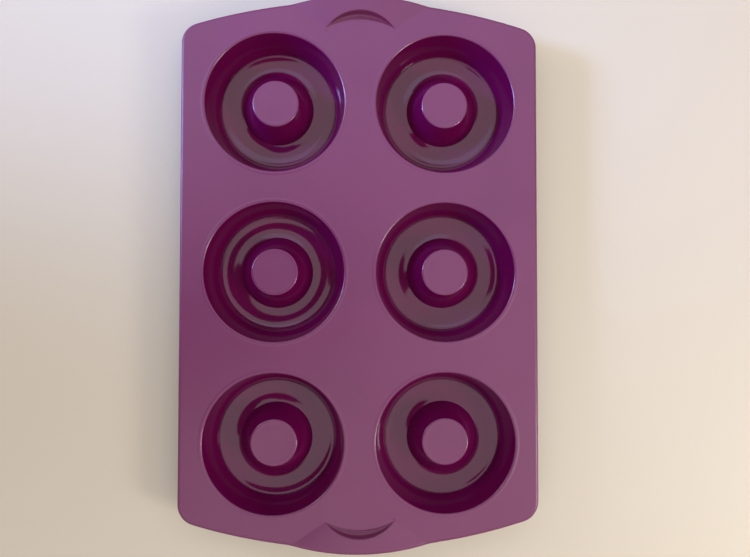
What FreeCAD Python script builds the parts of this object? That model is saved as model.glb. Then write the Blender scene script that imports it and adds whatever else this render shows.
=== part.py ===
import FreeCAD, Part
import math
import os

# Silicone soap mould: a flat deck with six ring-shaped cavities, two across and three deep.
# The real moulding is one piece.  Here each region of it is a solid of its own, so that the
# regions that flex against each other can move.
# Frame: millimetres, origin under the centre of the mould on the surface it stands on,
# +X to the right, +Y towards the rear end, +Z up.

# Deck
HALF_WIDTH = 106.5
END_RADIUS = 330.0
END_APEX = 163.0
CORNER_RADIUS = 12.5
DECK_TOP = 21.0
DECK_THICKNESS = 2.2
EDGE_WIDTH = 3.0
EDGE_DEPTH = 4.5

# Wells: the cup walls, cup floors and posts
PITCH_X = 102.0
PITCH_Y = 101.3
RIM_RADIUS = 41.8
WALL_THICKNESS = 1.9
FLANGE_RADIUS = 43.8
LIP_RISE = 0.3
LIP_ROUND = 0.8
CREASE_HEIGHT = 4.2
CREASE_RADIUS = 35.4
WALL_FOOT_HEIGHT = 1.2
FLOOR_LOW = 1.8
FOOT_INNER = 24.6
FOOT_OUTER = 32.4
POST_FOOT_RADIUS = 21.8
POST_FOOT_UNDER = 2.2
POST_TOP = DECK_TOP - 3.25
POST_TOP_RADIUS = 13.4
POST_ROUND = 1.4
POST_WALL = 2.1
POST_CAP = 1.8
SLIDE_GAP = 0.25

# Fold lines across the deck
ROW_STRIP = 4.0
GRIP_STRIP_START = 146.4
GRIP_STRIP = 2.5
STRIP_GAP = 0.1

# Grip tabs: a shallow arch that fans out from one point, with a crescent step at its root
FAN_Y = 132.8
CREASE_X = 41.0
CREASE_Y = 160.5
TAB_APEX = 164.5
TAB_RISE = 4.75
STEP_APEX = 156.1
STEP_END_X = 20.5
STEP_END_Y = 146.5
STEP_WALL = 2.2
TAB_THICKNESS = 2.2

ROWS = {"rear": PITCH_Y, "middle": 0.0, "front": -PITCH_Y}
COLUMNS = {"left": -PITCH_X / 2, "right": PITCH_X / 2}
DECK_UNDER = DECK_TOP - DECK_THICKNESS
EDGE_UNDER = DECK_TOP - EDGE_DEPTH
ROW_FOLD = PITCH_Y / 2
GRIP_STRIP_END = GRIP_STRIP_START + GRIP_STRIP
FAR = 2 * END_RADIUS
ALL_HEIGHT = 2 * DECK_TOP

Vector = FreeCAD.Vector
Z_AXIS = Vector(0, 0, 1)


def line(start, end):
    return Part.LineSegment(start, end).toShape()


def arc(start, middle, end):
    return Part.Arc(start, middle, end).toShape()


def polar(centre, radius, angle):
    return Vector(centre.x + radius * math.cos(angle), centre.y + radius * math.sin(angle), 0)


def circle_through(apex_y, side_x, side_y):
    """Centre and radius of the circle through (0, apex_y) and (+-side_x, side_y)."""
    sagitta = apex_y - side_y
    radius = (side_x ** 2 + sagitta ** 2) / (2 * sagitta)
    return Vector(0, apex_y - radius, 0), radius


def prism(face, low, high):
    solid = face.extrude(Vector(0, 0, high - low))
    solid.translate(Vector(0, 0, low))
    return solid


def band(start_y, end_y):
    """A slab of space between two Y planes, wider and taller than the mould."""
    size = Vector(FAR, end_y - start_y, 2 * ALL_HEIGHT)
    return Part.makeBox(size.x, size.y, size.z, Vector(-FAR / 2, start_y, -ALL_HEIGHT))


def disc(x, y, radius, low, high):
    return Part.makeCylinder(radius, high - low, Vector(x, y, low))


def deck_outline(inset):
    """The deck's plan without its tabs: straight sides, bowed ends and round corners."""
    half = HALF_WIDTH - inset
    end_radius = END_RADIUS - inset
    corner = CORNER_RADIUS - inset
    arc_centre = Vector(0, END_APEX - END_RADIUS, 0)
    corner_x = half - corner
    corner_y = arc_centre.y + math.sqrt((end_radius - corner) ** 2 - corner_x ** 2)
    corner_centre = Vector(corner_x, corner_y, 0)
    end_angle = math.atan2(corner_y - arc_centre.y, corner_x)
    side = Vector(half, corner_y, 0)
    bend = polar(corner_centre, corner, end_angle / 2)
    end = polar(arc_centre, end_radius, end_angle)
    apex = Vector(0, END_APEX - inset, 0)
    left = Vector(-end.x, end.y, 0)
    left_bend = Vector(-bend.x, bend.y, 0)
    left_side = Vector(-side.x, side.y, 0)
    edges = [arc(side, bend, end), arc(end, apex, left), arc(left, left_bend, left_side)]
    front = Part.Wire(edges).rotated(Vector(), Z_AXIS, 180).Edges
    edges.append(line(left_side, -side))
    edges.extend(front)
    edges.append(line(Vector(half, -corner_y, 0), side))
    return Part.Face(Part.Wire(Part.__sortEdges__(edges)))


def tab_plan():
    """The rear tab's plan: the sector between its creases, out to its bowed edge."""
    apex = Vector(0, TAB_APEX, 0)
    right = Vector(CREASE_X, CREASE_Y, 0)
    left = Vector(-CREASE_X, CREASE_Y, 0)
    root = Vector(0, FAN_Y, 0)
    return Part.Face(Part.Wire([arc(right, apex, left), line(left, root), line(root, right)]))


def edged_slab():
    """Deck and turned-down edge over the whole plan, still without wells or fold lines."""
    slab = prism(deck_outline(0), EDGE_UNDER, DECK_TOP)
    return slab.cut(prism(deck_outline(EDGE_WIDTH), EDGE_UNDER, DECK_UNDER))


def row_deck(slab, row):
    """One row's deck, with a hole for the flange of each of its two cups."""
    row_y = ROWS[row]
    inner = ROW_FOLD + ROW_STRIP / 2
    spans = {
        "rear": (inner, GRIP_STRIP_START),
        "middle": (-ROW_FOLD + ROW_STRIP / 2, ROW_FOLD - ROW_STRIP / 2),
        "front": (-GRIP_STRIP_START, -inner),
    }
    deck = slab.common(band(*spans[row]))
    for column_x in COLUMNS.values():
        deck = deck.cut(disc(column_x, row_y, FLANGE_RADIUS, 0, ALL_HEIGHT))
    return deck


def rear_row_strip():
    """The thin web between the middle and rear rows, where the deck folds."""
    width = ROW_STRIP - STRIP_GAP
    corner = Vector(-HALF_WIDTH, ROW_FOLD - ROW_STRIP / 2 + STRIP_GAP, DECK_UNDER)
    return Part.makeBox(2 * HALF_WIDTH, width, DECK_THICKNESS, corner)


def rear_grip_strip():
    """The web between the rear row and the rear grip."""
    sheet = prism(deck_outline(0), DECK_UNDER, DECK_TOP)
    return sheet.common(band(GRIP_STRIP_START, GRIP_STRIP_END - STRIP_GAP))


def fan_wedge(under):
    """The arch that fans out from the root of the tab, as thick as under at its crown."""
    sections = []
    for section_y in (GRIP_STRIP_END, TAB_APEX + TAB_RISE):
        reach = section_y - FAN_Y
        half = reach * CREASE_X / (CREASE_Y - FAN_Y)
        rise = reach * TAB_RISE / (TAB_APEX - FAN_Y)
        left = Vector(-half, section_y, DECK_TOP)
        crown = Vector(0, section_y, DECK_TOP + rise)
        right = Vector(half, section_y, DECK_TOP)
        drop = Vector(0, 0, -under)
        edges = [arc(left, crown, right), line(right, right + drop)]
        edges.append(arc(right + drop, crown + drop, left + drop))
        edges.append(line(left + drop, left))
        sections.append(Part.Wire(edges))
    return Part.makeLoft(sections, True, True)


def filled_fan():
    """Everything between the arch and the plane of the deck's underside."""
    thick = fan_wedge(TAB_RISE + DECK_THICKNESS)
    return thick.common(Part.makeBox(FAR, FAR, ALL_HEIGHT, Vector(-FAR / 2, 0, DECK_UNDER)))


def rear_end_pieces(slab):
    """The flat end of the deck: a flank each side of the tab and the thumb rest before its step."""
    step_centre, step_radius = circle_through(STEP_APEX, STEP_END_X, STEP_END_Y)
    end = slab.common(band(GRIP_STRIP_END, FAR / 2))
    root = Vector(0, FAN_Y, 0)
    reach = FAR / CREASE_X
    right = root + Vector(CREASE_X, CREASE_Y - FAN_Y, 0) * reach
    left = Vector(-right.x, right.y, 0)
    fan = prism(Part.Face(Part.makePolygon([root, right, left, root])), 0, ALL_HEIGHT)
    flanks = sorted(end.cut(fan).Solids, key=lambda solid: solid.BoundBox.XMin)
    rest = end.common(disc(0, step_centre.y, step_radius - STEP_WALL, 0, ALL_HEIGHT))
    return {"end_flank_left": flanks[0], "end_flank_right": flanks[1], "thumb_rest": rest}


def rear_grip_tab():
    """The raised tab: an arched sheet closed towards the deck by the crescent step."""
    step_centre, step_radius = circle_through(STEP_APEX, STEP_END_X, STEP_END_Y)
    outer = disc(0, step_centre.y, step_radius, 0, ALL_HEIGHT)
    inner = disc(0, step_centre.y, step_radius - STEP_WALL, 0, ALL_HEIGHT)
    plan = prism(tab_plan(), 0, ALL_HEIGHT)
    sheet = fan_wedge(TAB_THICKNESS).common(plan).cut(inner)
    step = filled_fan().common(plan).common(outer).cut(inner)
    return sheet.fuse(step).common(band(GRIP_STRIP_END, FAR / 2)).removeSplitter()


def spin(points_and_arcs, x, y):
    """Revolve a closed profile about the well axis at (x, y).

    A profile is a list of (radius, height) points; a point given as (radius, height,
    through_radius, through_height) is reached by an arc through the second pair.
    """
    edges = []
    start = Vector(points_and_arcs[0][0], 0, points_and_arcs[0][1])
    first = start
    for step in points_and_arcs[1:]:
        end = Vector(step[0], 0, step[1])
        if len(step) > 2:
            edges.append(arc(start, Vector(step[2], 0, step[3]), end))
        else:
            edges.append(line(start, end))
        start = end
    edges.append(line(start, first))
    solid = Part.Face(Part.Wire(edges)).revolve(Vector(), Z_AXIS, 360)
    solid.translate(Vector(x, y, 0))
    return solid


def wall_radius(height):
    """Inside radius of the flared cup wall at a height above the table."""
    flare = (RIM_RADIUS - CREASE_RADIUS) / (DECK_TOP - CREASE_HEIGHT)
    return CREASE_RADIUS + flare * (height - CREASE_HEIGHT)


def cup_wall(x, y):
    lip_top = DECK_TOP + LIP_RISE
    lip_start = DECK_TOP - LIP_ROUND
    lip_radius = wall_radius(lip_start)
    crown = lip_radius + LIP_ROUND + LIP_RISE
    turn = math.sqrt(0.5)
    profile = [
        (wall_radius(WALL_FOOT_HEIGHT), WALL_FOOT_HEIGHT),
        (lip_radius, lip_start),
        (crown, lip_top, crown - turn * (crown - lip_radius), lip_start + turn * (lip_top - lip_start)),
        (FLANGE_RADIUS - LIP_RISE, lip_top),
        (FLANGE_RADIUS, DECK_TOP),
        (FLANGE_RADIUS, DECK_UNDER),
        (wall_radius(DECK_UNDER) + WALL_THICKNESS, DECK_UNDER),
        (wall_radius(WALL_FOOT_HEIGHT) + WALL_THICKNESS, WALL_FOOT_HEIGHT),
    ]
    return spin(profile, x, y)


def cup_floor(x, y):
    outer = wall_radius(CREASE_HEIGHT) - SLIDE_GAP
    middle = (outer + POST_FOOT_RADIUS) / 2
    profile = [
        (outer, CREASE_HEIGHT),
        (POST_FOOT_RADIUS, CREASE_HEIGHT, middle, FLOOR_LOW),
        (POST_FOOT_RADIUS, POST_FOOT_UNDER),
        (FOOT_INNER, 0),
        (FOOT_OUTER, 0),
        (wall_radius(WALL_FOOT_HEIGHT) - SLIDE_GAP, WALL_FOOT_HEIGHT),
    ]
    return spin(profile, x, y)


def post(x, y):
    shoulder_height = POST_TOP - POST_ROUND
    shoulder_radius = POST_TOP_RADIUS + POST_ROUND
    taper = (POST_FOOT_RADIUS - shoulder_radius) / (shoulder_height - CREASE_HEIGHT)
    cap_under = POST_TOP - POST_CAP
    foot_inside = POST_FOOT_RADIUS - POST_WALL + taper * (CREASE_HEIGHT - POST_FOOT_UNDER)
    cap_inside = POST_FOOT_RADIUS - POST_WALL - taper * (cap_under - CREASE_HEIGHT)
    turn = POST_ROUND * math.sqrt(0.5)
    profile = [
        (POST_FOOT_RADIUS, CREASE_HEIGHT),
        (shoulder_radius, shoulder_height),
        (POST_TOP_RADIUS, POST_TOP, POST_TOP_RADIUS + turn, shoulder_height + turn),
        (0, POST_TOP),
        (0, cap_under),
        (cap_inside, cap_under),
        (foot_inside, POST_FOOT_UNDER),
        (POST_FOOT_RADIUS, POST_FOOT_UNDER),
    ]
    return spin(profile, x, y)


def mirrored_to_front(solid):
    """The front end is the mirror image of the rear end."""
    return solid.mirror(Vector(), Vector(0, 1, 0))


def build():
    slab = edged_slab()
    parts = {"deck_" + row: row_deck(slab, row) for row in ROWS}
    rear_parts = rear_end_pieces(slab)
    rear_parts["row_flex_strip"] = rear_row_strip()
    rear_parts["grip_flex_strip"] = rear_grip_strip()
    rear_parts["grip_tab"] = rear_grip_tab()
    for name, solid in rear_parts.items():
        parts[name + "_rear"] = solid
        parts[name + "_front"] = mirrored_to_front(solid)
    for row, y in ROWS.items():
        for column, x in COLUMNS.items():
            place = "_" + row + "_" + column
            parts["cup_wall" + place] = cup_wall(x, y)
            parts["cup_floor" + place] = cup_floor(x, y)
            parts["post" + place] = post(x, y)
    return parts


os.makedirs("parts", exist_ok=True)
total = 0.0
for node, shape in build().items():
    shape.exportStep(os.path.join("parts", node + ".step"))
    box = shape.BoundBox
    total += shape.Volume
    print(f"{node:26s} solids {len(shape.Solids)} valid {shape.isValid()} volume {shape.Volume:9.1f}"
          f"  x {box.XMin:7.2f} {box.XMax:7.2f}  y {box.YMin:7.2f} {box.YMax:7.2f}"
          f"  z {box.ZMin:5.2f} {box.ZMax:5.2f}")
print(f"total volume {total:.0f} mm3")
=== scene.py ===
import math

import bmesh
import bpy
from mathutils import Euler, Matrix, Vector
from mathutils.geometry import delaunay_2d_cdt


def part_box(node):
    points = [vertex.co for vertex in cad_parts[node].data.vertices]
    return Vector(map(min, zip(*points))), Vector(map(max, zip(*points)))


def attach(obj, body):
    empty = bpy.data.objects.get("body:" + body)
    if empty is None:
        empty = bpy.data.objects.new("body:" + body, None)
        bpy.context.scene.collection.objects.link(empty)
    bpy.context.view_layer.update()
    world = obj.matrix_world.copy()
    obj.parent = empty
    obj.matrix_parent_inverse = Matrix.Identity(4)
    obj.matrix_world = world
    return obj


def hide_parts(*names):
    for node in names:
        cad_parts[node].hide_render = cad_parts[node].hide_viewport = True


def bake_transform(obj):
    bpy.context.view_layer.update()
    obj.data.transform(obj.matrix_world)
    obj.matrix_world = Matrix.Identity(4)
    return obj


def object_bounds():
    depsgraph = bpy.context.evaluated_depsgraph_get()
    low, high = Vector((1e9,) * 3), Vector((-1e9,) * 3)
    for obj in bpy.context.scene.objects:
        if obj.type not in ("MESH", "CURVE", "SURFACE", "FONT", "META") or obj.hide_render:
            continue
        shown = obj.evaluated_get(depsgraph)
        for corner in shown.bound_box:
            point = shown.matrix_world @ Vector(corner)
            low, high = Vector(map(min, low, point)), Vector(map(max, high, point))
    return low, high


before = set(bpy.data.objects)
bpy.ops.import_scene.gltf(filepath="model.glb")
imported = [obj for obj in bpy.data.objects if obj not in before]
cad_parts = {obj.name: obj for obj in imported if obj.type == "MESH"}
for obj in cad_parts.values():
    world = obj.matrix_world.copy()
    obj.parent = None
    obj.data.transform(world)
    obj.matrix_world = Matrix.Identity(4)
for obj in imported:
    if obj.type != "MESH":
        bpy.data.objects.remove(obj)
cad_low, cad_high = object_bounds()

# A millimetre in metres, and the gaps that count as none
MM = 0.001
TINY = 1e-6
CUT_SNAP = 1e-7

# ---------------------------------------------------------------------------------------------
# Sizes, in millimetres.  The wells' places and the deck's heights come from the frame.
# ---------------------------------------------------------------------------------------------

# Deck outline
END_RADIUS = 330.0
END_APEX = 163.0
CORNER_RADIUS = 12.5
OUTLINE_STEP = 1.5
OUTLINE_REACH = 0.15

# Section of the rolled and turned-down deck edge
ROLL_WIDTH = 2.2
ROLL_DROP = 1.6
HEM_ROUND = 0.8
HEM_WIDTH = 3.0
HEM_FILLET = 1.0
ROLL_STEPS = 6

# Grip tabs, with the crescent step that each one rises from
FAN_Y = 132.8
FAN_ROOT = 1.0
CREASE_X = 41.0
CREASE_Y = 160.5
TAB_APEX = 164.5
TAB_RISE = 4.75
CREASE_BLEND = 0.12
CREASE_SPREAD = (-1.2, -0.6, 0.0, 0.6, 1.2)
NOTCH_BLEND = 0.25
STEP_END = (20.5, 146.5)
STEP_OUTER_APEX = 156.1
STEP_INNER_APEX = 148.1
STEP_COLUMNS = 84
STEP_ROWS = 36

# Section of a crescent step, as shares of its height and of its width from its inner edge
STEP_SLOW_RISE = 0.37
STEP_SLOW_POWER = 4
STEP_SLOW_END = 0.62
STEP_WALL_START = 0.68
# Share of the step's width from which its top faces get painted shade
STEP_SHADE_START = 0.43

# Cup walls and their rims
FLANGE_RADIUS = 44.3
RIM_RADIUS = 41.65
LIP_RISE = 0.2
LIP_ROUND = 1.5
LIP_WIDTH = 1.2
LIP_FALL = 1.2
LIP_FOOT = 2.5
LIP_NORMAL = 0.6
WALL_THICKNESS = 1.9
UNDER_ROUND = 1.0

# Cup floors, from the crease at the wall's foot to the post's foot, then the underside
SEAM_HEIGHT = 5.6
CREASE_RADIUS = 35.3
CREASE_HEIGHT = 3.4
CREASE_ROUND = 0.2
CHANNEL_RADIUS = 33.8
CHANNEL_SLOPE = 20.0
CHANNEL_ROUND = 0.9
LEDGE_WIDTH = 1.15
GROOVE_DEPTH = 0.16
FOOT_RADIUS = 21.8
STAND_INNER = 24.6
STAND_OUTER = 32.4
STAND_ROUND = 3.0
HEEL_OUT = 0.9
HEEL_HEIGHT = 1.6
HEEL_ROUND = 2.0
INSTEP_IN = 1.2
INSTEP_HEIGHT = 1.9
INSTEP_ROUND = 1.5

# Posts
POST_TOP_DROP = 3.25
POST_SHOULDER = 13.6
POST_LIP_RISE = 0.15
POST_LIP_WIDTH = 1.1
POST_LIP_FALL = 1.8
POST_ROUND = 1.2
POST_WALL = 2.0
POST_CAP = 1.8
POST_EDGE_DROP = 0.2

# Fineness of the turned pieces
LATHE_STEPS = 192
PATH_STEP = 1.0
TURN_STEP = 8.0
TURN_LEAST_STEPS = 6

# Bands that bend, as distances along +Y, and how far the last slice runs past the end
FOLD_BAND = (44.5, 56.8)
GRIP_BAND = (145.8, 149.6)
BEND_STEP = 0.8
PAST_END = 1.0

# Fineness of the deck's sheets
GRID_STEP = 5.0
GRID_CLEARANCE = 2.2
CREASE_CLEARANCE = 0.5
SLOPE_REACH = 0.05

# Kind of output asked of the triangulation: only what is inside the loops
INSIDE_ONLY = 1

ROWS = ("rear", "middle", "front")
COLUMNS = ("left", "right")

DECK_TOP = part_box("deck_middle")[1].z / MM
DECK_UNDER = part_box("row_flex_strip_rear")[0].z / MM
EDGE_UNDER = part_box("deck_middle")[0].z / MM
HALF_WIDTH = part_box("deck_middle")[1].x / MM
SHEET = DECK_TOP - DECK_UNDER
HEM_DEPTH = DECK_TOP - EDGE_UNDER
POST_TOP = DECK_TOP - POST_TOP_DROP


def well_centre(row, column):
    """Plan position of a cup's axis."""
    low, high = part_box(f"cup_floor_{row}_{column}")
    return Vector((low.x + high.x, low.y + high.y)) / (2 * MM)


WELLS = {(row, column): well_centre(row, column) for row in ROWS for column in COLUMNS}


# ---------------------------------------------------------------------------------------------
# Outline and height of the deck
# ---------------------------------------------------------------------------------------------

def circle_through(apex_y, side_x, side_y):
    """Centre height and radius of the circle through (0, apex_y) and (+-side_x, side_y)."""
    sagitta = apex_y - side_y
    radius = (side_x ** 2 + sagitta ** 2) / (2 * sagitta)
    return apex_y - radius, radius


TAB_EDGE = circle_through(TAB_APEX, CREASE_X, CREASE_Y)
STEP_OUTER = circle_through(STEP_OUTER_APEX, *STEP_END)
STEP_INNER = circle_through(STEP_INNER_APEX, *STEP_END)


def circle_y(circle, x):
    """The rear side of a circle, which is centred on the Y axis, at x."""
    centre_y, radius = circle
    return centre_y + math.sqrt(max(radius ** 2 - x ** 2, 0.0))


def smooth_max(a, b, blend):
    """The larger of two values, with the corner between them rounded by blend."""
    return (a + b + math.sqrt((a - b) ** 2 + blend ** 2)) / 2


def end_edge(x):
    """Plan position of the rear edge: the bowed end, and the tab standing out past it."""
    end = circle_y((END_APEX - END_RADIUS, END_RADIUS), x)
    return smooth_max(end, circle_y(TAB_EDGE, x), NOTCH_BLEND)


def outline():
    """The closed outline as (point, outward normal) pairs, anticlockwise from the right side."""
    end_centre = Vector((0, END_APEX - END_RADIUS))
    corner_x = HALF_WIDTH - CORNER_RADIUS
    corner_y = end_centre.y + math.sqrt((END_RADIUS - CORNER_RADIUS) ** 2 - corner_x ** 2)
    end_angle = math.atan2(corner_y - end_centre.y, corner_x)
    quarter = []
    turns = math.ceil(CORNER_RADIUS * end_angle / OUTLINE_STEP)
    for i in range(turns + 1):
        angle = end_angle * i / turns
        normal = Vector((math.cos(angle), math.sin(angle)))
        quarter.append((Vector((corner_x, corner_y)) + CORNER_RADIUS * normal, normal))
    last_x = quarter[-1][0].x
    count = math.ceil(last_x / OUTLINE_STEP)
    for i in range(1, count + 1):
        x = last_x * (1 - i / count)
        slope = (end_edge(x + OUTLINE_REACH) - end_edge(x - OUTLINE_REACH)) / (2 * OUTLINE_REACH)
        quarter.append((Vector((x, end_edge(x))), Vector((-slope, 1)).normalized()))
    left = [(Vector((-p.x, p.y)), Vector((-n.x, n.y))) for p, n in reversed(quarter[:-1])]
    rear = quarter + left
    front = [(Vector((p.x, -p.y)), Vector((n.x, -n.y))) for p, n in reversed(rear)]
    return rear + front


def step_share(x, y):
    """0 in front of the crescent step, 1 beyond it, and the share of its width in between."""
    inner = math.hypot(x, y - STEP_INNER[0]) - STEP_INNER[1]
    outer = math.hypot(x, y - STEP_OUTER[0]) - STEP_OUTER[1]
    if outer >= 0:
        return 1.0
    if inner <= 0:
        return 0.0
    return inner / (inner - outer)


def ease(t):
    """0 before t is 0, 1 after it is 1, and a smooth S between."""
    t = min(max(t, 0.0), 1.0)
    return t * t * (3 - 2 * t)


def step_height(share):
    """Section of the crescent step: a slow rise, a narrow ledge and a steep wall."""
    slow = STEP_SLOW_RISE * min(share / STEP_SLOW_END, 1.0) ** STEP_SLOW_POWER
    wall = ease((share - STEP_WALL_START) / (1 - STEP_WALL_START))
    return slow + (1 - STEP_SLOW_RISE) * wall


def arch(x, reach):
    """Height of the tab's arch at a distance from the root of its fan."""
    half = reach * CREASE_X / (CREASE_Y - FAN_Y)
    rise = reach * TAB_RISE / (TAB_APEX - FAN_Y)
    radius = (half ** 2 + rise ** 2) / (2 * rise)
    rounded_arch = math.sqrt(max(radius ** 2 - x ** 2, 0.0)) - (radius - rise)
    return smooth_max(rounded_arch, 0.0, CREASE_BLEND)


def height(x, y):
    """Height of the top surface above the plane of the deck."""
    reach = abs(y) - FAN_Y
    if reach <= FAN_ROOT:
        return 0.0
    share = step_share(x, abs(y))
    if share <= 0.0:
        return 0.0
    return arch(x, reach) * step_height(share)


def slope_normal(x, y):
    """Normal of the top surface, with a height of 1."""
    along_x = (height(x + SLOPE_REACH, y) - height(x - SLOPE_REACH, y)) / (2 * SLOPE_REACH)
    along_y = (height(x, y + SLOPE_REACH) - height(x, y - SLOPE_REACH)) / (2 * SLOPE_REACH)
    return Vector((-along_x, -along_y, 1.0))


# ---------------------------------------------------------------------------------------------
# Deck
# ---------------------------------------------------------------------------------------------

def arc_points(centre, radii, start_deg, end_deg, steps):
    """Points and outward normals on an ellipse arc in the (inset, drop) plane of the edge."""
    made = []
    for i in range(steps + 1):
        angle = math.radians(start_deg + (end_deg - start_deg) * i / steps)
        point = (centre[0] + radii[0] * math.cos(angle), centre[1] + radii[1] * math.sin(angle))
        normal = Vector((math.cos(angle) / radii[0], math.sin(angle) / radii[1])).normalized()
        made.append((point, (normal.x, normal.y)))
    return made


def edge_section():
    """The deck edge from its top round to its underside, as ((inset, drop), (inward, downward))."""
    section = arc_points((ROLL_WIDTH, ROLL_DROP), (ROLL_WIDTH, ROLL_DROP), 270, 180, ROLL_STEPS)
    hem = (HEM_ROUND, HEM_ROUND)
    section += arc_points((HEM_ROUND, HEM_DEPTH - HEM_ROUND), hem, 180, 90, ROLL_STEPS // 2)
    section += arc_points((HEM_WIDTH - HEM_ROUND, HEM_DEPTH - HEM_ROUND), hem, 90, 0, ROLL_STEPS // 2)
    inner = (HEM_WIDTH + HEM_FILLET, SHEET + HEM_FILLET)
    fillet = arc_points(inner, (HEM_FILLET, HEM_FILLET), 180, 270, ROLL_STEPS // 2)
    section += [(point, (-normal[0], -normal[1])) for point, normal in fillet]
    return section


def step_points():
    """Points along and across the rear crescent step, so that the sheet's faces follow it."""
    points = []
    for i in range(1, STEP_COLUMNS):
        x = STEP_END[0] * math.sin(math.pi * (i / STEP_COLUMNS - 0.5))
        low, high = circle_y(STEP_INNER, x), circle_y(STEP_OUTER, x)
        rows = max(2, round(STEP_ROWS * (high - low) / (STEP_OUTER_APEX - STEP_INNER_APEX)))
        points += [Vector((x, low + (high - low) * j / rows)) for j in range(rows + 1)]
    return points


def crease_points(inset):
    """Points on and beside the two creases of the rear tab, from the step to the edge."""
    points = []
    along = Vector((CREASE_X, CREASE_Y - FAN_Y)).normalized()
    across = Vector((along.y, -along.x))
    root = Vector((0, FAN_Y))
    reach = (Vector(STEP_END) - root).length
    end = (Vector((CREASE_X, CREASE_Y)) - root).length
    steps = math.ceil((end - reach) / BEND_STEP)
    for i in range(1, steps):
        for side in CREASE_SPREAD:
            point = root + along * (reach + (end - reach) * i / steps) + across * side
            if point.y < end_edge(point.x) - inset - CREASE_CLEARANCE:
                points += [point, Vector((-point.x, point.y))]
    return points


def grid_points(inset):
    """A coarse grid over the deck, kept clear of its edge, its wells and its grips."""
    points = []
    columns = int(HALF_WIDTH // GRID_STEP)
    rows = int(FAN_Y // GRID_STEP)
    for i in range(-columns, columns + 1):
        for j in range(-rows, rows + 1):
            point = Vector(((i + 0.5 * (j % 2)) * GRID_STEP, j * GRID_STEP))
            clear_of_edge = HALF_WIDTH - abs(point.x) > inset + GRID_CLEARANCE
            well_gap = min((point - centre).length for centre in WELLS.values()) - FLANGE_RADIUS
            if clear_of_edge and well_gap > GRID_CLEARANCE:
                points.append(point)
    return points


def tab_grid(inset):
    """A finer grid over the rear end, beside the points that follow its step and creases."""
    points = []
    step = GRID_STEP / 2
    taken = step_points() + crease_points(inset)
    columns = int(HALF_WIDTH // step)
    for i in range(-columns, columns + 1):
        for j in range(0, int((TAB_APEX - FAN_Y) // step) + 1):
            point = Vector(((i + 0.5 * (j % 2)) * step, FAN_Y + j * step))
            inside = abs(point.x) < HALF_WIDTH - inset - GRID_CLEARANCE
            clear_of_end = point.y < end_edge(point.x) - inset - GRID_CLEARANCE
            corner = abs(point.x) > HALF_WIDTH - CORNER_RADIUS and point.y > FAN_Y + GRID_STEP / 2
            well_gap = min((point - centre).length for centre in WELLS.values()) - FLANGE_RADIUS
            if not (inside and clear_of_end) or corner or well_gap < GRID_CLEARANCE:
                continue
            if min((point - other).length for other in taken) > step / 2:
                points.append(point)
    return points


def mirrored(points):
    """The points of the rear end, and the same points at the front end."""
    return points + [Vector((p.x, -p.y)) for p in points]


def triangulated(loops, inner):
    """The points, and the triangles over the area to the left of every closed loop."""
    points, edges, owners = [], [], []
    for number, loop in enumerate(loops):
        first = len(points)
        points += loop
        owners += [number] * len(loop)
        edges += [(first + i, first + (i + 1) % len(loop)) for i in range(len(loop))]
    points += inner
    owners += [None] * len(inner)
    triangles = []
    for i, j, k in delaunay_2d_cdt(points, edges, [], INSIDE_ONLY, TINY, False)[2]:
        on_one_loop = owners[i] is not None and owners[i] == owners[j] == owners[k]
        runs_backwards = (j - i) * (k - j) * (i - k) > 0
        if not (on_one_loop and runs_backwards):
            triangles.append((i, j, k))
    return points, triangles


def sheet_faces(inset, detail):
    """Points and triangles of the deck's plan, inset from its outline and without the wells."""
    loops = [[point - normal * inset for point, normal in outline()]]
    for centre in WELLS.values():
        turns = [-math.tau * i / LATHE_STEPS for i in range(LATHE_STEPS)]
        loops.append([centre + FLANGE_RADIUS * Vector((math.cos(a), math.sin(a))) for a in turns])
    return triangulated(loops, grid_points(inset) + mirrored(detail))


class Skin:
    """A mesh under construction, with the true surface normal kept at each vertex."""

    def __init__(self):
        self.mesh = bmesh.new()
        self.normal = self.mesh.verts.layers.float_vector.new("surface_normal")

    def vertex(self, x, y, z, normal):
        """A vertex at a place in millimetres."""
        made = self.mesh.verts.new(Vector((x, y, z)) * MM)
        made[self.normal] = normal.normalized()
        return made

    def face(self, corners):
        """A smooth face whose corners run anticlockwise as seen from outside."""
        made = self.mesh.faces.new(corners)
        made.smooth = True
        return made


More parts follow.
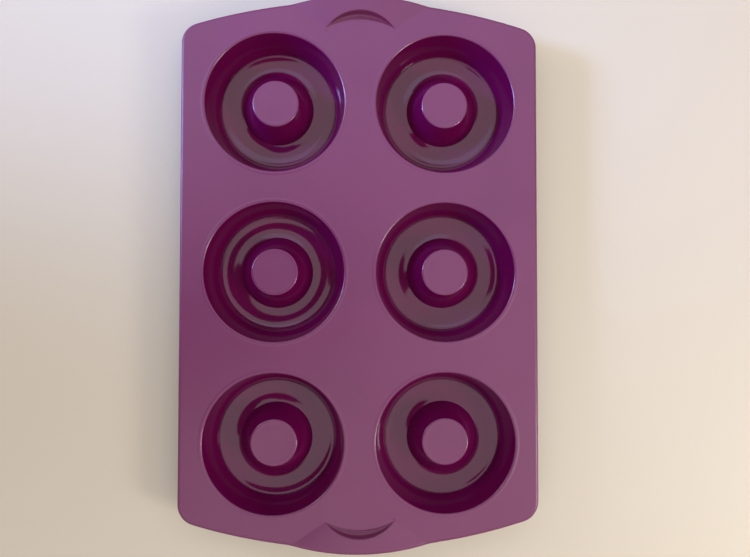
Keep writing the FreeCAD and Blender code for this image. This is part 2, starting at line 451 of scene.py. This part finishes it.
def deck_skin():
    """The whole deck, both faces and the edge between them, with its six holes."""
    skin = Skin()
    detail = step_points() + crease_points(ROLL_WIDTH) + tab_grid(ROLL_WIDTH)
    section = edge_section()
    top_inset, under_inset = section[0][0][0], section[-1][0][0]
    for inset, drop, side in ((top_inset, 0.0, 1), (under_inset, SHEET, -1)):
        points, triangles = sheet_faces(inset, detail if side > 0 else tab_grid(inset))
        made = []
        for p in points:
            z = DECK_TOP + height(p.x, p.y) - drop
            made.append(skin.vertex(p.x, p.y, z, slope_normal(p.x, p.y) * side))
        for triangle in triangles:
            corners = [made[i] for i in triangle]
            skin.face(corners if side > 0 else corners[::-1])
    rings = []
    for point, outward in outline():
        ring = []
        for (inset, drop), (inward, downward) in section:
            p = point - outward * inset
            normal = Vector((outward.x, outward.y, 0)) * -inward - slope_normal(p.x, p.y) * downward
            ring.append(skin.vertex(p.x, p.y, DECK_TOP + height(p.x, p.y) - drop, normal))
        rings.append(ring)
    for ring, after in zip(rings, rings[1:] + rings[:1]):
        for i in range(len(section) - 1):
            skin.face([ring[i], ring[i + 1], after[i + 1], after[i]])
    for centre in WELLS.values():
        loop = []
        for i in range(LATHE_STEPS):
            way = Vector((math.cos(math.tau * i / LATHE_STEPS), math.sin(math.tau * i / LATHE_STEPS)))
            p = centre + FLANGE_RADIUS * way
            up = Vector((0, 0, 1))
            loop.append((skin.vertex(p.x, p.y, DECK_TOP, up), skin.vertex(p.x, p.y, DECK_UNDER, -up)))
        for one, two in zip(loop, loop[1:] + loop[:1]):
            skin.face([one[0], two[0], two[1], one[1]])
    bmesh.ops.remove_doubles(skin.mesh, verts=skin.mesh.verts, dist=TINY)
    return skin


def cut(mesh, y, clear_below=False, clear_above=False):
    """Divides a mesh along a Y plane, and clears what is below or above it."""
    geometry = list(mesh.verts) + list(mesh.edges) + list(mesh.faces)
    bmesh.ops.bisect_plane(
        mesh, geom=geometry, dist=CUT_SNAP, plane_co=(0, y * MM, 0), plane_no=(0, 1, 0),
        clear_inner=clear_below, clear_outer=clear_above,
    )


def close(mesh, side):
    """Caps the open loop of a cut mesh; side is 1 where the cap faces -Y and -1 where it faces +Y."""
    after = {}
    for edge in mesh.edges:
        if edge.is_boundary:
            corner = edge.link_loops[0]
            after[corner.link_loop_next.vert] = corner.vert
    loop = [next(iter(after))]
    while after[loop[-1]] is not loop[0]:
        loop.append(after[loop[-1]])
    flat = [Vector((side * vertex.co.x, vertex.co.z)) / MM for vertex in loop]
    for triangle in triangulated([flat], [])[1]:
        mesh.faces.new([loop[i] for i in triangle])


def slice_of(skin, name, low, high, step=None):
    """The part of a skin between two Y planes as a closed object, divided every step."""
    mesh = skin.mesh.copy()
    for y, side in ((low, 1), (high, -1)):
        cut(mesh, y, side > 0, side < 0)
        if any(edge.is_boundary for edge in mesh.edges):
            close(mesh, side)
    if step:
        count = round((high - low) / step)
        for i in range(1, count):
            cut(mesh, low + (high - low) * i / count)
    return finished(mesh, name)


def finished(mesh, name):
    """A Blender object from a mesh whose vertices carry their surface normals."""
    layer = mesh.verts.layers.float_vector["surface_normal"]
    normals = [v[layer].normalized() for v in mesh.verts]
    data = bpy.data.meshes.new(name)
    mesh.to_mesh(data)
    mesh.free()
    data.normals_split_custom_set_from_vertices(normals)
    data.attributes.remove(data.attributes["surface_normal"])
    made = bpy.data.objects.new(name, data)
    bpy.context.collection.objects.link(made)
    return made


# ---------------------------------------------------------------------------------------------
# Cups
# ---------------------------------------------------------------------------------------------

def rounded(corners):
    """A path through (radius, height, rounding) corners as (radius, height, normal) points.

    The normal points to the left of the way the path runs.
    """
    path = []
    for i, (r, z, rounding) in enumerate(corners):
        here = Vector((r, z))
        if i == 0 or i == len(corners) - 1:
            other = Vector(corners[1 if i == 0 else i - 1][:2])
            way = (other - here if i == 0 else here - other).normalized()
            path.append((here, Vector((-way.y, way.x))))
            continue
        before = (here - Vector(corners[i - 1][:2])).normalized()
        after = (Vector(corners[i + 1][:2]) - here).normalized()
        turn = math.atan2(before.x * after.y - before.y * after.x, before.dot(after))
        back = abs(rounding * math.tan(turn / 2))
        start = here - before * back
        side = math.copysign(1.0, turn)
        left = Vector((-before.y, before.x))
        centre = start + left * rounding * side
        count = max(TURN_LEAST_STEPS, math.ceil(abs(math.degrees(turn)) / TURN_STEP))
        for j in range(count + 1):
            angle = turn * j / count
            spoke = left * math.cos(angle) - before * math.sin(angle)
            path.append((centre - spoke * rounding * side, spoke))
    return path


def lathe(name, centre, loops):
    """A closed ring or dish turned about the axis at centre from loops of (point, normal)."""
    skin = Skin()
    rings = []
    for path in loops:
        for point, normal in path:
            ring = []
            turns = LATHE_STEPS if point.x > TINY else 1
            for i in range(turns):
                angle = math.tau * i / LATHE_STEPS
                way = Vector((math.cos(angle), math.sin(angle)))
                p = centre + way * point.x
                n = Vector((way.x * normal.x, way.y * normal.x, normal.y))
                ring.append(skin.vertex(p.x, p.y, point.y, n))
            rings.append(ring)
    for ring, after in zip(rings, rings[1:] + rings[:1]):
        for i in range(LATHE_STEPS):
            j = (i + 1) % LATHE_STEPS
            if len(ring) == 1 and len(after) == 1:
                break
            if len(ring) == 1:
                skin.face([ring[0], after[i], after[j]])
            elif len(after) == 1:
                skin.face([ring[i], after[0], ring[j]])
            else:
                skin.face([ring[i], after[i], after[j], ring[j]])
    return finished(skin.mesh, name)


def divided(path):
    """The path with points added along its long straight stretches."""
    made = [path[0]]
    for (p, n), (q, m) in zip(path, path[1:]):
        count = max(1, math.ceil((q - p).length / PATH_STEP))
        for i in range(1, count + 1):
            share = i / count
            made.append((p.lerp(q, share), n.lerp(m, share).normalized()))
    return made


def wall_radius(z):
    """Radius of a cup wall's inner face at a height."""
    taper = (RIM_RADIUS - CREASE_RADIUS) / (DECK_TOP - CREASE_HEIGHT)
    return CREASE_RADIUS + taper * (z - CREASE_HEIGHT)


def post_radius(z):
    """Radius of a post's side at a height."""
    taper = (FOOT_RADIUS - POST_SHOULDER) / (POST_TOP - CREASE_HEIGHT)
    return FOOT_RADIUS - taper * (z - CREASE_HEIGHT)


def cup_wall(name, centre):
    """The flared wall from its rim on the deck down to just above the crease of the floor."""
    inside = rounded([
        (wall_radius(SEAM_HEIGHT), SEAM_HEIGHT, 0.0),
        (RIM_RADIUS, DECK_TOP + LIP_RISE, LIP_ROUND),
        (RIM_RADIUS + LIP_WIDTH, DECK_TOP + LIP_RISE, LIP_ROUND),
        (RIM_RADIUS + LIP_WIDTH + LIP_FALL, DECK_TOP, LIP_FOOT),
        (FLANGE_RADIUS, DECK_TOP, 0.0),
    ])
    outside = rounded([
        (FLANGE_RADIUS, DECK_UNDER, 0.0),
        (wall_radius(DECK_UNDER) + WALL_THICKNESS, DECK_UNDER, UNDER_ROUND),
        (wall_radius(SEAM_HEIGHT) + WALL_THICKNESS, SEAM_HEIGHT, 0.0),
    ])
    return lathe(name, centre, [divided(inside), divided(outside)])


def cup_floor(name, centre):
    """The ring channel, with a narrow ledge where it meets the wall."""
    middle = (FOOT_RADIUS + CHANNEL_RADIUS) / 2
    half = CHANNEL_RADIUS - middle
    slope = math.radians(CHANNEL_SLOPE)
    inside = rounded([
        (post_radius(SEAM_HEIGHT), SEAM_HEIGHT, 0.0),
        (FOOT_RADIUS, CREASE_HEIGHT, CREASE_ROUND),
        (middle, CREASE_HEIGHT - half * math.tan(slope), CHANNEL_ROUND * half / math.sin(slope)),
        (CHANNEL_RADIUS, CREASE_HEIGHT, CREASE_ROUND),
        (CHANNEL_RADIUS + LEDGE_WIDTH, CREASE_HEIGHT, CREASE_ROUND),
        (CREASE_RADIUS, CREASE_HEIGHT - GROOVE_DEPTH, CREASE_ROUND / 2),
        (wall_radius(SEAM_HEIGHT), SEAM_HEIGHT, 0.0),
    ])
    outside = rounded([
        (wall_radius(SEAM_HEIGHT) + WALL_THICKNESS, SEAM_HEIGHT, 0.0),
        (CREASE_RADIUS + HEEL_OUT, HEEL_HEIGHT, HEEL_ROUND),
        (STAND_OUTER, 0.0, STAND_ROUND),
        (STAND_INNER, 0.0, STAND_ROUND),
        (FOOT_RADIUS - INSTEP_IN, INSTEP_HEIGHT, INSTEP_ROUND),
        (post_radius(SEAM_HEIGHT) - POST_WALL, SEAM_HEIGHT, 0.0),
    ])
    return lathe(name, centre, [divided(inside), divided(outside)])


def post(name, centre):
    """The closed centre post, hollow from below."""
    inside = POST_SHOULDER - POST_CAP / 2
    lip = POST_TOP + POST_LIP_RISE
    outer = rounded([
        (0.0, POST_TOP, 0.0),
        (POST_SHOULDER - POST_LIP_WIDTH - POST_LIP_FALL, POST_TOP, LIP_FOOT),
        (POST_SHOULDER - POST_LIP_WIDTH, lip, POST_ROUND),
        (POST_SHOULDER, lip, POST_ROUND),
        (post_radius(SEAM_HEIGHT), SEAM_HEIGHT, 0.0),
    ])
    under = rounded([
        (post_radius(SEAM_HEIGHT) - POST_WALL, SEAM_HEIGHT, 0.0),
        (inside, POST_TOP - POST_CAP, POST_ROUND),
        (0.0, POST_TOP - POST_CAP, 0.0),
    ])
    return lathe(name, centre, [divided(outer), divided(under)])


# ---------------------------------------------------------------------------------------------
# Materials
# ---------------------------------------------------------------------------------------------

# Colours, sheen and moulded grain of the four materials, two of which carry painted shade in the
# darker plum
MATTE_PLUM = (0.110, 0.018, 0.065)
# The darker plum is painted shade: it darkens the cups' hollows and the crescent steps' steep walls
SHADE_PLUM = (0.070, 0.001, 0.030)
SILICONE_IOR = 1.41
MATTE_ROUGHNESS = 0.40
STEP_SHADE_ROUGHNESS = 0.28
SATIN_ROUGHNESS = 0.24
GLOSS_ROUGHNESS = 0.10
FINE_GRAIN = 1400.0
BROAD_GRAIN = 500.0
MATTE_BUMP = 0.02 * MM
SATIN_BUMP = 0.005 * MM
GLOSS_BUMP = 0.003 * MM
GRAIN_DETAIL = 2.0

# Unevenness of the colour and of the sheen
NOISE_RANGE = (0.3, 0.7)
CLOUD_SCALE = 18.0
CLOUD_DETAIL = 4.0
CLOUD_SHARE = 0.05
SHEEN_SCALE = 55.0
SHEEN_DETAIL = 3.0
SHEEN_SHARE = 0.08
MOTTLE_SCALE = 6.0
MOTTLE_SHARE = 0.03


def dimmed(colour, share):
    """The colour darkened by a share of itself, or lightened by a negative one, with its alpha."""
    return (*[c * (1 - share) for c in colour], 1)


def silicone(name, colour, roughness, grain, bump):
    """Moulded silicone: faint cloudiness, uneven sheen and a fine moulded grain."""
    made = bpy.data.materials.new(name)
    made.use_nodes = True
    nodes, links = made.node_tree.nodes, made.node_tree.links
    shader = nodes["Principled BSDF"]
    shader.inputs["IOR"].default_value = SILICONE_IOR
    place = nodes.new("ShaderNodeTexCoord")

    def noise(scale, detail):
        texture = nodes.new("ShaderNodeTexNoise")
        texture.inputs["Scale"].default_value = scale
        texture.inputs["Detail"].default_value = detail
        links.new(place.outputs["Object"], texture.inputs["Vector"])
        return texture.outputs["Fac"]

    cloud = nodes.new("ShaderNodeValToRGB")
    low, high = cloud.color_ramp.elements
    low.position, high.position = NOISE_RANGE
    low.color = dimmed(colour, CLOUD_SHARE)
    high.color = dimmed(colour, -CLOUD_SHARE)
    links.new(noise(CLOUD_SCALE, CLOUD_DETAIL), cloud.inputs["Fac"])
    links.new(cloud.outputs["Color"], shader.inputs["Base Color"])

    sheen = nodes.new("ShaderNodeMapRange")
    sheen.inputs["From Min"].default_value, sheen.inputs["From Max"].default_value = NOISE_RANGE
    sheen.inputs["To Min"].default_value = roughness * (1 - SHEEN_SHARE)
    sheen.inputs["To Max"].default_value = roughness * (1 + SHEEN_SHARE)
    links.new(noise(SHEEN_SCALE, SHEEN_DETAIL), sheen.inputs["Value"])
    links.new(sheen.outputs["Result"], shader.inputs["Roughness"])

    raised = nodes.new("ShaderNodeBump")
    raised.inputs["Distance"].default_value = bump
    links.new(noise(grain, GRAIN_DETAIL), raised.inputs["Height"])
    links.new(raised.outputs["Normal"], shader.inputs["Normal"])
    return made


def plain(name, colour, roughness):
    """A plain, faintly mottled material for the studio."""
    made = bpy.data.materials.new(name)
    made.use_nodes = True
    nodes, links = made.node_tree.nodes, made.node_tree.links
    shader = nodes["Principled BSDF"]
    shader.inputs["Roughness"].default_value = roughness
    mottle = nodes.new("ShaderNodeTexNoise")
    mottle.inputs["Scale"].default_value = MOTTLE_SCALE
    ramp = nodes.new("ShaderNodeValToRGB")
    ramp.color_ramp.elements[0].color = dimmed(colour, MOTTLE_SHARE)
    ramp.color_ramp.elements[1].color = dimmed(colour, 0.0)
    links.new(mottle.outputs["Fac"], ramp.inputs["Fac"])
    links.new(ramp.outputs["Color"], shader.inputs["Base Color"])
    return made


MATTE = silicone("matte_silicone", MATTE_PLUM, MATTE_ROUGHNESS, FINE_GRAIN, MATTE_BUMP)
# Painted shade for the crescent steps' steep walls: the darker plum, a little glossier than the deck
STEP_SHADE = silicone("step_shade_silicone", SHADE_PLUM, STEP_SHADE_ROUGHNESS, FINE_GRAIN, SATIN_BUMP)
SATIN = silicone("satin_silicone", MATTE_PLUM, SATIN_ROUGHNESS, FINE_GRAIN, SATIN_BUMP)
# Glossy finish of the cups' insides, in the darker plum that paints the shade of their hollows
SHADED_GLOSS = silicone("gloss_silicone", SHADE_PLUM, GLOSS_ROUGHNESS, BROAD_GRAIN, GLOSS_BUMP)


def paint(piece, *choices):
    """Matte silicone all over, and another material on the faces that each (finish_and_shade, test)
    picks; some of these materials carry painted shade.
    """
    piece.data.materials.append(MATTE)
    for slot, (finish_and_shade, picks) in enumerate(choices, start=1):
        piece.data.materials.append(finish_and_shade)
        for face in piece.data.polygons:
            if picks(face):
                face.material_index = slot


# ---------------------------------------------------------------------------------------------
# The mould
# ---------------------------------------------------------------------------------------------

def step_shade_faces(face):
    """Whether a face of the deck is on the steeper part of a crescent step, where the shade is
    painted.
    """
    share = step_share(face.center.x / MM, abs(face.center.y) / MM)
    on_top = face.center.z > DECK_TOP * MM and face.normal.z > 0
    return on_top and STEP_SHADE_START < share < 1


def build_deck():
    """The deck's seven pieces, each on its row, its grip or between two of them."""
    skin = deck_skin()
    fold_low, fold_high = FOLD_BAND
    grip_low, grip_high = GRIP_BAND
    middle = slice_of(skin, "deck_skin_middle", -fold_low, fold_low)
    paint(middle)
    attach(middle, "row_middle")
    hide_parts("deck_middle")
    for end, sign in (("rear", 1), ("front", -1)):
        row, grip = "row_" + end, "grip_" + end

        def part(name, low, high, step=None):
            """A piece of this end, between two distances from the middle of the mould."""
            low, high = sorted((low * sign, high * sign))
            made = slice_of(skin, f"{name}_{end}", low, high, step)
            # The steep part of each crescent step gets painted shade
            paint(made, (STEP_SHADE, step_shade_faces))
            return made

        deck = part("deck_skin", fold_high, grip_low)
        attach(deck, row)
        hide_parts("deck_" + end)
        fold = part("fold_web", fold_low, fold_high, BEND_STEP)
        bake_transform(fold)
        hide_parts("row_flex_strip_" + end)
        tab = part("grip_skin", grip_low, cad_high.y / MM + PAST_END)
        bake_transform(tab)
        flanks = [f"end_flank_{side}_{end}" for side in COLUMNS]
        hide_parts("grip_flex_strip_" + end, "grip_tab_" + end, "thumb_rest_" + end, *flanks)
    skin.mesh.free()


def build_cup(row, column):
    """The wall, floor and post of one ring cavity."""
    centre = WELLS[(row, column)]
    place = f"{row}_{column}"
    body, cup = "row_" + row, "cup_" + place

    def reach(face):
        """Distance of a face from the cup's axis."""
        return (Vector(face.center[:2]) / MM - centre).length

    def faces_axis(face):
        """Whether a face is on the inside of the wall, below its rim."""
        out = Vector(face.center[:2]) - centre * MM
        return out.dot(Vector(face.normal[:2])) < 0 and face.normal.z < LIP_NORMAL

    def lip(face):
        """Whether a face is on top of the rim."""
        near = reach(face) < RIM_RADIUS + LIP_WIDTH
        return near and face.center.z > (DECK_TOP - LIP_ROUND) * MM and face.normal.z >= LIP_NORMAL

    wall = cup_wall("cup_wall_skin_" + place, centre)
    # The wall's inside gets the gloss with the painted shade of the hollow
    paint(wall, (SHADED_GLOSS, faces_axis), (SATIN, lip))
    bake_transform(wall)
    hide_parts("cup_wall_" + place)
    floor = cup_floor("cup_floor_skin_" + place, centre)
    # The floor's top gets the gloss with the painted shade of the hollow
    paint(floor, (SHADED_GLOSS, lambda face: face.normal.z > 0))
    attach(floor, cup)
    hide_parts("cup_floor_" + place)
    core = post("post_skin_" + place, centre)

    def side(face):
        """Whether a face is on the post's side."""
        return 0 < face.normal.z < LIP_NORMAL and face.center.z < (POST_TOP - POST_EDGE_DROP) * MM

    def edge(face):
        """Whether a face is on the rounded edge of the post's top."""
        outer = reach(face) > POST_SHOULDER - POST_LIP_WIDTH
        return outer and face.center.z >= (POST_TOP - POST_EDGE_DROP) * MM and face.normal.z > 0

    # The post's side gets the gloss with the painted shade of the hollow
    paint(core, (SHADED_GLOSS, side), (SATIN, edge))
    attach(core, cup)
    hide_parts("post_" + place)


# ---------------------------------------------------------------------------------------------
# Studio
# ---------------------------------------------------------------------------------------------

# Camera: place from the middle of the deck top, lens and sensor in millimetres, turn in radians
CAMERA_PLACE = (-2.26, -12.46, 344.23)
CAMERA_TURN = (0.0248781, -0.0322152, 0.0010534)
CAMERA_LENS = 27.84
CAMERA_SENSOR = 36.0
CAMERA_NEAR = 0.01

# Room and lights, in metres and watts
FLOOR_SIZE = 6.0
FLOOR_COLOUR = (0.42, 0.36, 0.29)
FLOOR_ROUGHNESS = 0.6
ROOM_COLOUR = (1.0, 0.96, 0.92, 1)
ROOM_STRENGTH = 0.5
CEILING_HEIGHT = 2.0
CEILING_SIZE = (5.0, 5.0)
CEILING_POWER = 100.0
CEILING_COLOUR = (1.0, 1.0, 1.0)
SKY_PLACE = (-0.1, 1.3, 1.5)
SKY_SIZE = (1.4, 0.8)
SKY_POWER = 4.0
SKY_COLOUR = (0.35, 0.5, 1.0)
SPOT_PLACE = (-0.9, 0.28, 0.46)
SPOT_TARGET = (-0.02, 0.18, 0.02)
SPOT_ANGLE = 26.0
SPOT_BLEND = 1.0
SPOT_SIZE = 0.12
SPOT_POWER = 90.0
SPOT_COLOUR = (0.28, 0.42, 1.0)
WINDOW_PLACE = (-0.95, 0.5, 0.45)
WINDOW_SIZE = (0.36, 0.28)
WINDOW_POWER = 3.5
WINDOW_COLOUR = (0.85, 0.9, 1.0)
LAMP_PLACE = (0.95, -0.45, 0.65)
LAMP_SIZE = (0.3, 0.3)
LAMP_POWER = 9.0
LAMP_COLOUR = (1.0, 0.97, 0.93)

# Dark card over the mould, which the glossy cups reflect
CARD_HEIGHT = 0.375
CARD_COLOUR = (0.15, 0.11, 0.09)
CARD_ROUGHNESS = 0.8
CARD_CORNERS = (
    (0.01, -0.045), (0.01, 0.065), (-0.09, 0.095), (-0.18, 0.02), (-0.36, 0.08), (-0.6, 0.08),
    (-0.6, -0.25), (-0.36, -0.2), (-0.18, -0.12), (-0.09, -0.09),
)


def aim(data, place, target):
    """A lamp object at a place, turned to its target and left out of the picture itself."""
    lamp = bpy.data.objects.new(data.name, data)
    lamp.location = place
    lamp.rotation_euler = (Vector(target) - Vector(place)).to_track_quat("-Z", "Y").to_euler()
    lamp.visible_camera = False
    bpy.context.collection.objects.link(lamp)


def area_light(name, place, target, size, power, colour):
    """A soft rectangular light, aimed at a target."""
    data = bpy.data.lights.new(name, "AREA")
    data.shape = "RECTANGLE"
    data.size, data.size_y = size
    data.energy = power
    data.color = colour
    aim(data, place, target)


def spot_light():
    """A soft bluish beam from the left on to the rear cups."""
    data = bpy.data.lights.new("spot", "SPOT")
    data.spot_size = math.radians(SPOT_ANGLE)
    data.spot_blend = SPOT_BLEND
    data.shadow_soft_size = SPOT_SIZE
    data.energy = SPOT_POWER
    data.color = SPOT_COLOUR
    aim(data, SPOT_PLACE, SPOT_TARGET)


def build_room():
    """A plain pale floor and an even, warm grey room."""
    bpy.ops.mesh.primitive_plane_add(size=FLOOR_SIZE)
    ground = bpy.context.object
    ground.name = "studio_floor"
    ground.data.materials.append(plain("pale_floor", FLOOR_COLOUR, FLOOR_ROUGHNESS))
    world = bpy.data.worlds.new("studio_world")
    bpy.context.scene.world = world
    world.use_nodes = True
    background = world.node_tree.nodes["Background"]
    background.inputs["Color"].default_value = ROOM_COLOUR
    background.inputs["Strength"].default_value = ROOM_STRENGTH


def build_lights():
    """Soft lights all round the mould, most of them aimed at the middle of its deck."""
    middle = (0, 0, DECK_TOP * MM)
    area_light("ceiling", (0, 0, CEILING_HEIGHT), middle, CEILING_SIZE, CEILING_POWER, CEILING_COLOUR)
    area_light("window", WINDOW_PLACE, middle, WINDOW_SIZE, WINDOW_POWER, WINDOW_COLOUR)
    area_light("sky", SKY_PLACE, middle, SKY_SIZE, SKY_POWER, SKY_COLOUR)
    spot_light()
    area_light("lamp", LAMP_PLACE, middle, LAMP_SIZE, LAMP_POWER, LAMP_COLOUR)


def build_card():
    """The dark card, which the camera looks past."""
    data = bpy.data.meshes.new("dark_card")
    data.from_pydata([(x, y, CARD_HEIGHT) for x, y in CARD_CORNERS], [], [range(len(CARD_CORNERS))])
    card = bpy.data.objects.new("dark_card", data)
    bpy.context.collection.objects.link(card)
    card.data.materials.append(plain("dark_card", CARD_COLOUR, CARD_ROUGHNESS))
    card.visible_camera = False


def build_camera():
    """The camera above the mould, looking almost straight down."""
    data = bpy.data.cameras.new("camera")
    data.lens = CAMERA_LENS
    data.sensor_width = CAMERA_SENSOR
    data.clip_start = CAMERA_NEAR
    camera = bpy.data.objects.new("camera", data)
    camera.location = (Vector(CAMERA_PLACE) + Vector((0, 0, DECK_TOP))) * MM
    camera.rotation_euler = Euler(CAMERA_TURN, "XYZ")
    bpy.context.collection.objects.link(camera)
    bpy.context.scene.camera = camera
    bpy.context.scene.view_settings.view_transform = "Standard"


build_deck()
for row, column in WELLS:
    build_cup(row, column)
build_room()
build_lights()
build_card()
build_camera()
